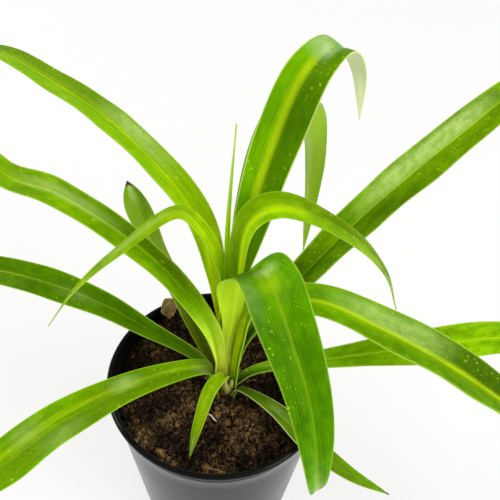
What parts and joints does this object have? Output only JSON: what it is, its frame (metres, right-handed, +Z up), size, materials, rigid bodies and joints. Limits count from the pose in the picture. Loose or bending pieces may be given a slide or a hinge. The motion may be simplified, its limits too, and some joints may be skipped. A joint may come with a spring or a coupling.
{
  "type": "potted spider plant",
  "caption": "Spider plant with long, narrow, channelled green leaves arching from one crown, in a tapered black plastic nursery pot filled with potting mix.",
  "frame": {"origin": "centre of the pot's flat underside, where it stands", "axes": "+Z up along the pot's axis; -Y towards the side seen in the picture; +X to the right as seen from there"},
  "size_m": [0.3983, 0.2903, 0.2769],
  "materials": {
    "pot_plastic": "smooth semi-gloss black",
    "potting_mix": "rough, matte, dark brown; the list has no soil, and wood is nearest by density and look",
    "crown_flesh": "satin, pale yellow-green; the list has no foliage, and leather is nearest by density",
    "bark": "rough, matte, tan",
    "leaf": "satin, mid green; the list has no foliage, and leather is nearest by density"
  },
  "bodies": {
    "root": {"pot": "pot_plastic", "soil": "potting_mix", "crown": "crown_flesh", "bark_chip": "bark", "leaf_back_left_long": "leaf", "leaf_left_upper": "leaf", "leaf_left_lower": "leaf", "leaf_front_left_wide": "leaf", "leaf_front_short": "leaf", "leaf_tall_back": "leaf", "leaf_back_hanging": "leaf", "leaf_right_upper": "leaf", "leaf_centre_arching": "leaf", "leaf_front_drooping": "leaf", "leaf_right_front": "leaf", "leaf_right_low": "leaf", "leaf_front_right_low": "leaf", "leaf_left_small": "leaf", "leaf_back_left_short": "leaf", "leaf_young_upright": "leaf"}
  },
  "joints": []
}
